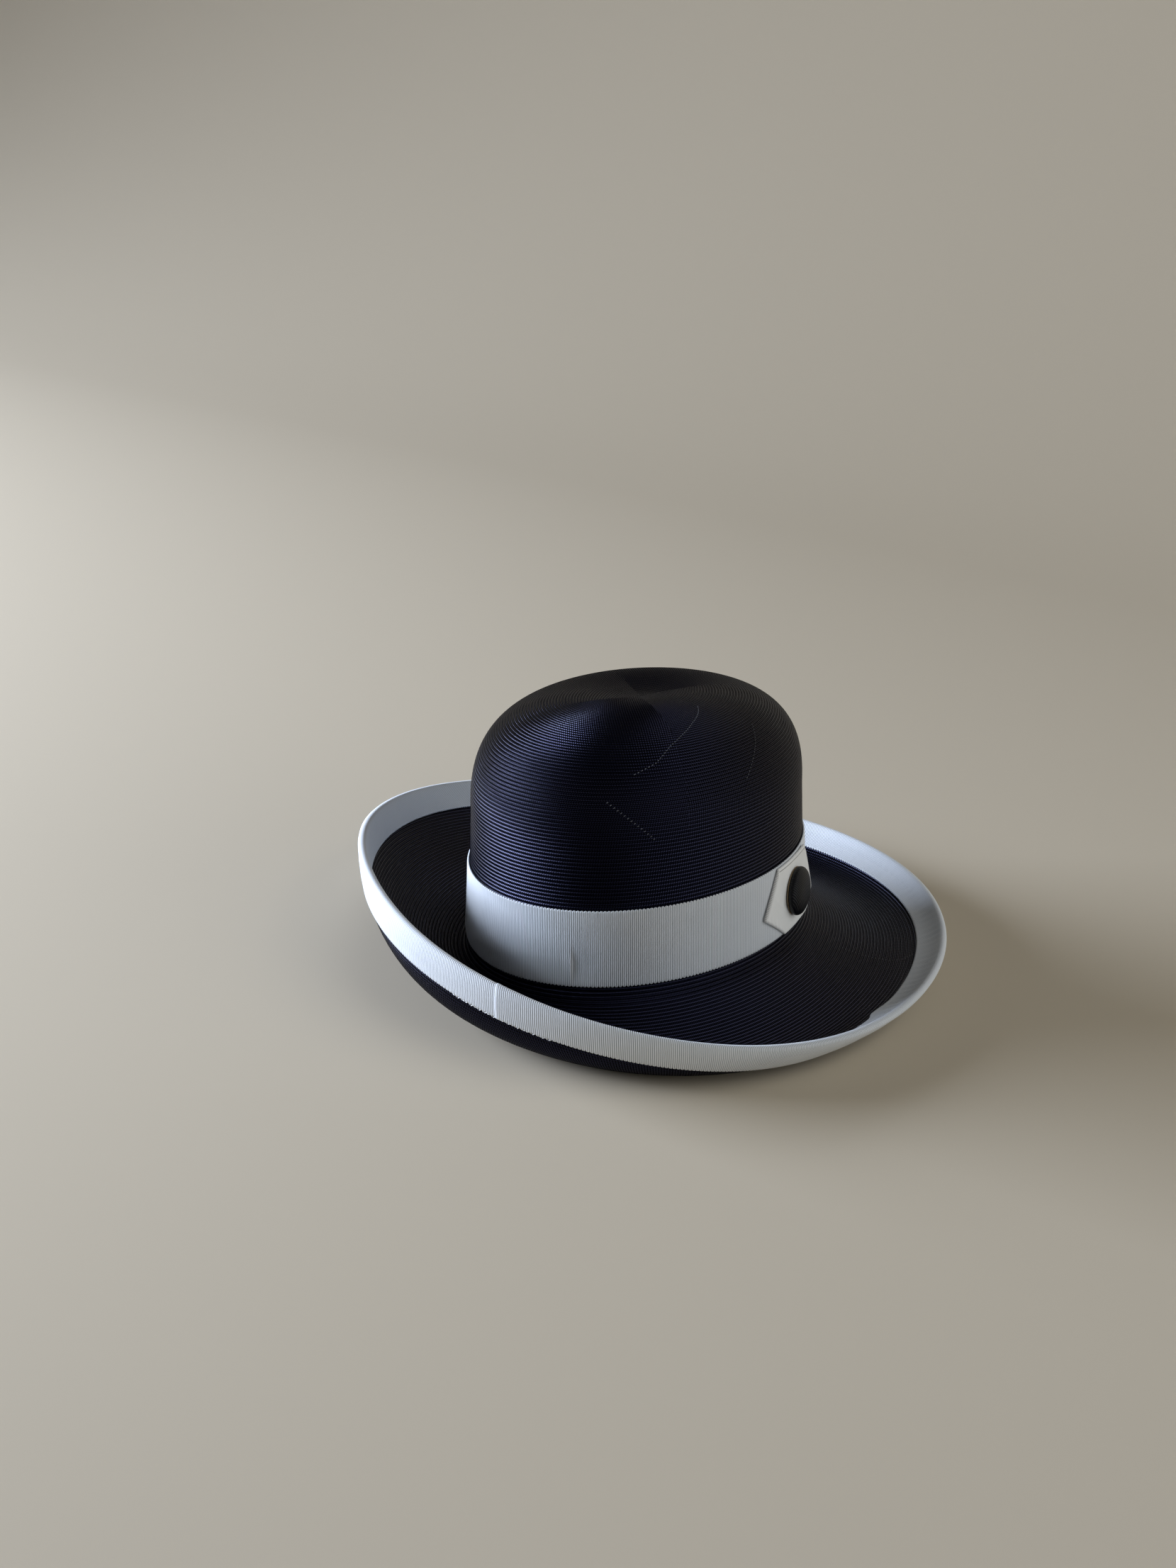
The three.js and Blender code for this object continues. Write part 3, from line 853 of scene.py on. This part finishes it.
def make_tab():
    """The folded tab: a soft sheet, pointed at both ends, with a back under it."""
    ends = (TAB_ROWS["along"][0], TAB_ROWS["along"][-1])
    half = TAB_COLUMNS // 2 + 1
    share = np.append(np.linspace(0, FINE_SHARE, half), np.linspace(FINE_SHARE, 1, half)[1:])
    along = ends[0] + (ends[1] - ends[0]) * share
    low = np.interp(along, TAB_ROWS["along"], TAB_ROWS["low"]) * BAND_HEIGHT
    high = np.interp(along, TAB_ROWS["along"], TAB_ROWS["high"]) * BAND_HEIGHT
    climb = 0.5 - 0.5 * np.cos(np.linspace(0, math.pi, TAB_HEIGHTS + 1))
    height = low + (high - low) * climb[:, None]
    place = np.broadcast_to(along * TAB_LENGTH, height.shape)
    to_end = along / np.where(along < 0, *ends)
    under = 2 * GAP + RIBBON + np.where(along < 0, TAB_LIFT_BACK, TAB_LIFT_FRONT) * to_end**2
    from_top = (high - height) * np.where(along < BACK_EDGE_END, BACK_EDGE_SLOPE, 1)
    from_side = np.minimum(share, 1 - share) * TAB_LENGTH
    from_edge = np.minimum(np.minimum((height - low) * FOOT_SLOPE, from_top), from_side)
    roll = np.sqrt(np.clip(1 - (1 - np.clip(from_edge / TAB_ROLL, 0, 1)) ** 2, 0, 1))
    corded = np.clip((BACK_EDGE_END - along) / SOFT_START, 0, 1) * np.clip(1 - from_top / CORDED_WIDTH, 0, 1)
    cord = np.cos(FULL_TURN * (height / CORD_RUN + from_top * CORD_SLANT) / TAB_CORD)
    seam = bell(from_top, TAB_SEAM, SEAM_WIDE) * np.clip((along - BACK_EDGE_END) / SOFT_START, 0, 1)
    pucker = np.cos(place * PUCKER_TURN) * bell(height - low, PUCKER_UP, PUCKER_TALL) * (along < PUCKER_END)
    relief = TAB_CORD_HEIGHT * corded * cord - SEAM_DEPTH * seam + PUCKER_DEPTH * pucker
    relief = relief + tab_creases(place, height)
    turn = (BUTTON_FORWARD + place) / (HEAD_LENGTH / 2)
    face = wall_point(turn, height, under + TAB_EDGE + (RIBBON + relief) * roll)
    uvs = np.stack([place, height], -1)
    # Painted shade for the tab's material: darker in the grooves between the corded stitches and along the
    # seam.
    shade = corded * (0.5 - 0.5 * cord) + seam
    front, vertex = wrap_grid("tab_ribbon", face, uvs)
    front.data.attributes.new("shade", "FLOAT", "POINT").data.foreach_set("value", shade[vertex])
    rear = wrap_grid("tab_back", wall_point(turn, height, under), uvs)[0]
    rear.data.attributes.new("shade", "FLOAT", "POINT")
    join_sheets(front, rear)
    return front


# The button's dome springs from a rim this share of its height up. The tan rim shows round its back.
BUTTON_RIM = 0.35
DOME_ROUND = 0.55
BACK_ROUND = 0.3
BACK_FLAT = 0.6
TAN_RIM_INSET = 0.45
TAN_RIM_UP = 0.28
TAN_RIM_WIDE = 1.2
TAN_RIM_TALL = 1.1


def on_button_seat(flat, up, wide):
    """Points of a round piece on the button's seat, from how far out and how wide each vertex goes, and the
    direction that it goes wide in."""
    turn = BUTTON_FORWARD / (HEAD_LENGTH / 2)
    seat = wall_point(turn, BUTTON_UP, 3 * GAP + 2 * RIBBON)
    out = outward_at(turn)
    way = flat[:, :2] / np.maximum(np.hypot(flat[:, 0], flat[:, 1]), 1e-6)[:, None]
    level = way[:, :1] * np.cross(UPRIGHT, out) + way[:, 1:] * UPRIGHT
    return seat + up[:, None] * out + wide[:, None] * level, way


def make_button():
    """The covered button: a sphere flattened to a dome with a rounded rim and a flat back."""
    bpy.ops.object.select_all(action="DESELECT")
    bpy.ops.mesh.primitive_uv_sphere_add(segments=96, ring_count=64, radius=1)
    piece = bpy.context.object
    piece.name = "button_cover"
    flat = read_points(piece.data)
    level = np.hypot(flat[:, 0], flat[:, 1])
    high = flat[:, 2]
    dome = BUTTON_RIM + (1 - BUTTON_RIM) * high
    back = BUTTON_RIM * (1 + np.sign(high) * np.abs(high) ** BACK_FLAT)
    up = BUTTON_HEIGHT * np.where(high >= 0, dome, back)
    wide = BUTTON_DIAMETER / 2 * np.where(high >= 0, level**DOME_ROUND, level**BACK_ROUND)
    points, way = on_button_seat(flat, up, wide)
    write_points(piece.data, points)
    write_uvs(piece.data, wide[:, None] * way)
    return piece


def make_rim():
    """The thin tan shell that shows round the back of the covered button."""
    bpy.ops.object.select_all(action="DESELECT")
    bpy.ops.mesh.primitive_torus_add(major_segments=72, minor_segments=10, major_radius=1, minor_radius=0.25)
    piece = bpy.context.object
    piece.name = "button_rim"
    flat = read_points(piece.data)
    wide = BUTTON_DIAMETER / 2 - TAN_RIM_INSET + (np.hypot(flat[:, 0], flat[:, 1]) - 1) * TAN_RIM_WIDE
    write_points(piece.data, on_button_seat(flat, TAN_RIM_UP + flat[:, 2] * TAN_RIM_TALL, wide)[0])
    return piece


# How blunt the ends of a grain are, from 0 for flat to 1 for round
GRAIN_ENDS = 0.7


def make_grains(name, places, ways, ups, long, thick):
    """Small rounded grains laid at places, each of them long one way and lying flat on what it is on."""
    grains = []
    for place, way, up in zip(places, ways, ups):
        bpy.ops.object.select_all(action="DESELECT")
        bpy.ops.mesh.primitive_uv_sphere_add(segments=10, ring_count=7, radius=1)
        grain = bpy.context.object
        flat = read_points(grain.data)
        way = way / np.linalg.norm(way)
        up = up / np.linalg.norm(up)
        ends = np.sign(flat[:, 2:]) * np.abs(flat[:, 2:]) ** GRAIN_ENDS
        sides = flat[:, :1] * np.cross(up, way) + flat[:, 1:2] * up
        write_points(grain.data, place + ends * long / 2 * way + sides * thick / 2)
        grains.append(grain)
    select_only(*grains)
    bpy.ops.object.join()
    grains[0].name = name
    return grains[0]


def grains_on(surface, turns, seconds, pitch, slant):
    """Places, ways and outward directions of grains every pitch along a path on a surface. The path is given
    as turns in degrees and as the surface's second values."""
    share = np.linspace(0, 1, PATH_SAMPLES)
    stops = np.linspace(0, 1, len(turns))
    turn = np.radians(np.interp(share, stops, turns))
    second = np.interp(share, stops, seconds)
    travelled = length_along(surface(turn, second))
    at = np.arange(pitch / 2, travelled[-1], pitch)
    turn = np.interp(at, travelled, turn)
    second = np.interp(at, travelled, second)
    here = surface(turn, second)
    round_way = surface(turn + NUDGE, second) - here
    up_way = surface(turn, second + NUDGE) - here
    round_way = round_way / np.linalg.norm(round_way, axis=1, keepdims=True)
    up_way = up_way / np.linalg.norm(up_way, axis=1, keepdims=True)
    return here, round_way + slant * up_way, np.cross(round_way, up_way)


# Lines where strands of straw were ended and new ones laid in, by turn in degrees and by place up the crown
# or out along the brim
CROWN_SPLICES = (
    {"turn": (287.2, 304.2), "climb": (1.22, 1.03)},
    {"turn": (357.2, 338), "climb": (1.51, 1.21)},
    {"turn": (349, 329.2, 319, 311.5, 304.8, 296.5), "climb": (1.79, 1.67, 1.59, 1.52, 1.42, 1.36)},
)
BRIM_SPLICE = {"turn": (13.2, 17, 20.2), "share": (0.35, 0.72, 0.8)}
ROW_TOP = 0.12
CROWN_SPLICE_PITCH = 1.1 * ROW_PITCH
CROWN_SPLICE_SLANT = 0.6
BRIM_SPLICE_SLANT = 0.3
SPLICE_LONG = 1.0
SPLICE_THICK = 0.34


def crown_skin(turn, climb):
    """Point on the tops of the crown's rows."""
    return crown_point(turn, climb, ROW_TOP)


def brim_skin(turn, share):
    """Point on the tops of the brim's rows."""
    return brim_point(turn, share * brim_width(turn), ROW_TOP)


def make_splices():
    """The ends of the strands, as short pale grains."""
    runs = []
    for path in CROWN_SPLICES:
        run = grains_on(crown_skin, path["turn"], path["climb"], CROWN_SPLICE_PITCH, CROWN_SPLICE_SLANT)
        runs.append(run)
    run = grains_on(brim_skin, BRIM_SPLICE["turn"], BRIM_SPLICE["share"], ROW_PITCH, BRIM_SPLICE_SLANT)
    runs.append(run)
    places, ways, ups = [np.concatenate(part) for part in zip(*runs)]
    return make_grains("straw_splices", places, ways, ups, SPLICE_LONG, SPLICE_THICK)


# Stitches along the lower edge of the binding on each side of its join, between two turns in degrees
STITCH_TURNS = (262, 280)
STITCH_PITCH = 1.55
STITCH_LONG = 1.5
STITCH_THICK = 0.5
STITCH_TILT = 0.9
STITCH_SINK = 0.1
STITCH_INSET = 0.2


def binding_foot(turn, share):
    """Point along the lower edge of the binding, on its outer face."""
    return brim_point(turn, brim_width(turn) - BINDING_BELOW - STITCH_INSET + share, -STRAW - BINDING_GROOVE)


def make_stitches():
    """Frayed thread and the stitches that hold the lapped end, each one tilted its own way."""
    places, ways, ups = grains_on(binding_foot, STITCH_TURNS, (0, 0), STITCH_PITCH, 0)
    uneven = np.sin(np.arange(len(places)) * 2.4)[:, None]
    ways = ways + uneven * STITCH_TILT * np.cross(ways, ups)
    places = places - ups * STITCH_SINK * uneven
    return make_grains("join_stitches", places, ways, ups, STITCH_LONG, STITCH_THICK)


straw = lacquered_straw()
finish_piece(make_crown(), "crown", straw)
finish_piece(make_brim(), "brim", straw)
finish_piece(make_band(), "hat_band", ribbed_ribbon("band_grosgrain", BAND_RIB))
finish_piece(make_binding(), "edge_binding", ribbed_ribbon("edge_grosgrain", BINDING_RIB))
finish_piece(make_tab(), "band_tab", pressed_ribbon())
finish_piece(make_button(), "button", button_cloth())
finish_piece(make_rim(), None, plain_finish("tan_rim", "#8a7454", 0.45))
finish_piece(make_splices(), None, plain_finish("cut_straw", "#6b6c70", 0.6))
finish_piece(make_stitches(), None, plain_finish("white_thread", "#f4f5f6", 0.6))


def make_floor(size, height, bend, colour):
    """Floor and backdrop in one sweep, so that no line shows behind the hat."""
    bpy.ops.object.select_all(action="DESELECT")
    bpy.ops.mesh.primitive_plane_add(size=size, location=(0, -size / 4, 0))
    floor = bpy.context.object
    floor.name = "floor"
    bpy.ops.object.mode_set(mode="EDIT")
    bpy.ops.mesh.select_mode(type="EDGE")
    bpy.ops.mesh.select_all(action="DESELECT")
    bpy.ops.object.mode_set(mode="OBJECT")
    for edge in floor.data.edges:
        edge.select = all(floor.data.vertices[index].co.y > 0 for index in edge.vertices)
    bpy.ops.object.mode_set(mode="EDIT")
    bpy.ops.mesh.extrude_region_move(TRANSFORM_OT_translate={"value": (0, 0, height)})
    bpy.ops.mesh.select_all(action="DESELECT")
    bpy.ops.object.mode_set(mode="OBJECT")
    for edge in floor.data.edges:
        ends = [floor.data.vertices[index].co for index in edge.vertices]
        edge.select = all(end.y > 0 and end.z < height / 2 for end in ends)
    bpy.ops.object.mode_set(mode="EDIT")
    bpy.ops.mesh.bevel(offset=bend, offset_type="OFFSET", segments=24)
    bpy.ops.object.mode_set(mode="OBJECT")
    bpy.ops.object.shade_smooth()
    bpy.ops.object.transform_apply(location=True, rotation=True, scale=True)
    material, shader = blank_material("painted_floor")
    shader.inputs["Base Color"].default_value = linear(colour)
    shader.inputs["Roughness"].default_value = 0.9
    floor.data.materials.append(material)


def soft_light(name, place, size, power, colour):
    """A large soft light that looks at the hat."""
    data = bpy.data.lights.new(name, "AREA")
    data.shape = "RECTANGLE"
    data.size, data.size_y = size
    data.energy = power
    data.color = linear(colour)[:3]
    light = bpy.data.objects.new(name, data)
    light.location = place
    aim = Vector((0, 0, 0.06)) - Vector(place)
    light.rotation_euler = aim.to_track_quat("-Z", "Y").to_euler()
    bpy.context.scene.collection.objects.link(light)


make_floor(size=10, height=5, bend=1.6, colour="#cfc2ab")
soft_light("window", place=(-1.72, -0.52, 0.5), size=(1.5, 0.6), power=80, colour="#dbe8ff")
soft_light("room", place=(2.26, 0.1, 1.4), size=(3.4, 2.8), power=36, colour="#f8fcff")


def fill_light(strength, colour):
    """A faint even light from all round."""
    world = bpy.data.worlds.new("room_light")
    world.use_nodes = True
    world.node_tree.nodes["Background"].inputs["Color"].default_value = linear(colour)
    world.node_tree.nodes["Background"].inputs["Strength"].default_value = strength
    bpy.context.scene.world = world


fill_light(strength=0.08, colour="#f4f0ea")
bpy.context.scene.view_settings.view_transform = "Standard"

# Camera where the photograph was taken from, about the hat as it stands
CAMERA_PLACE = Vector((0.3863, -1.049, 0.4988))
CAMERA_TARGET = Vector((-0.0079, -0.0082, 0.0596))
CAMERA_UP = Vector((-0.2435, 0.2974, 0.9232))


def photo_camera():
    """The one camera, which never moves."""
    data = bpy.data.cameras.new("photo_camera")
    data.sensor_width = 36
    data.lens = 54.09
    data.shift_x = -0.0301
    data.shift_y = 0.0324
    data.clip_start = 0.01
    data.clip_end = 100
    camera = bpy.data.objects.new("photo_camera", data)
    bpy.context.scene.collection.objects.link(camera)
    back = (CAMERA_PLACE - CAMERA_TARGET).normalized()
    right = CAMERA_UP.cross(back).normalized()
    turn = Matrix((right, back.cross(right), back)).transposed().to_4x4()
    camera.matrix_world = Matrix.Translation(CAMERA_PLACE) @ turn
    bpy.context.scene.camera = camera


photo_camera()
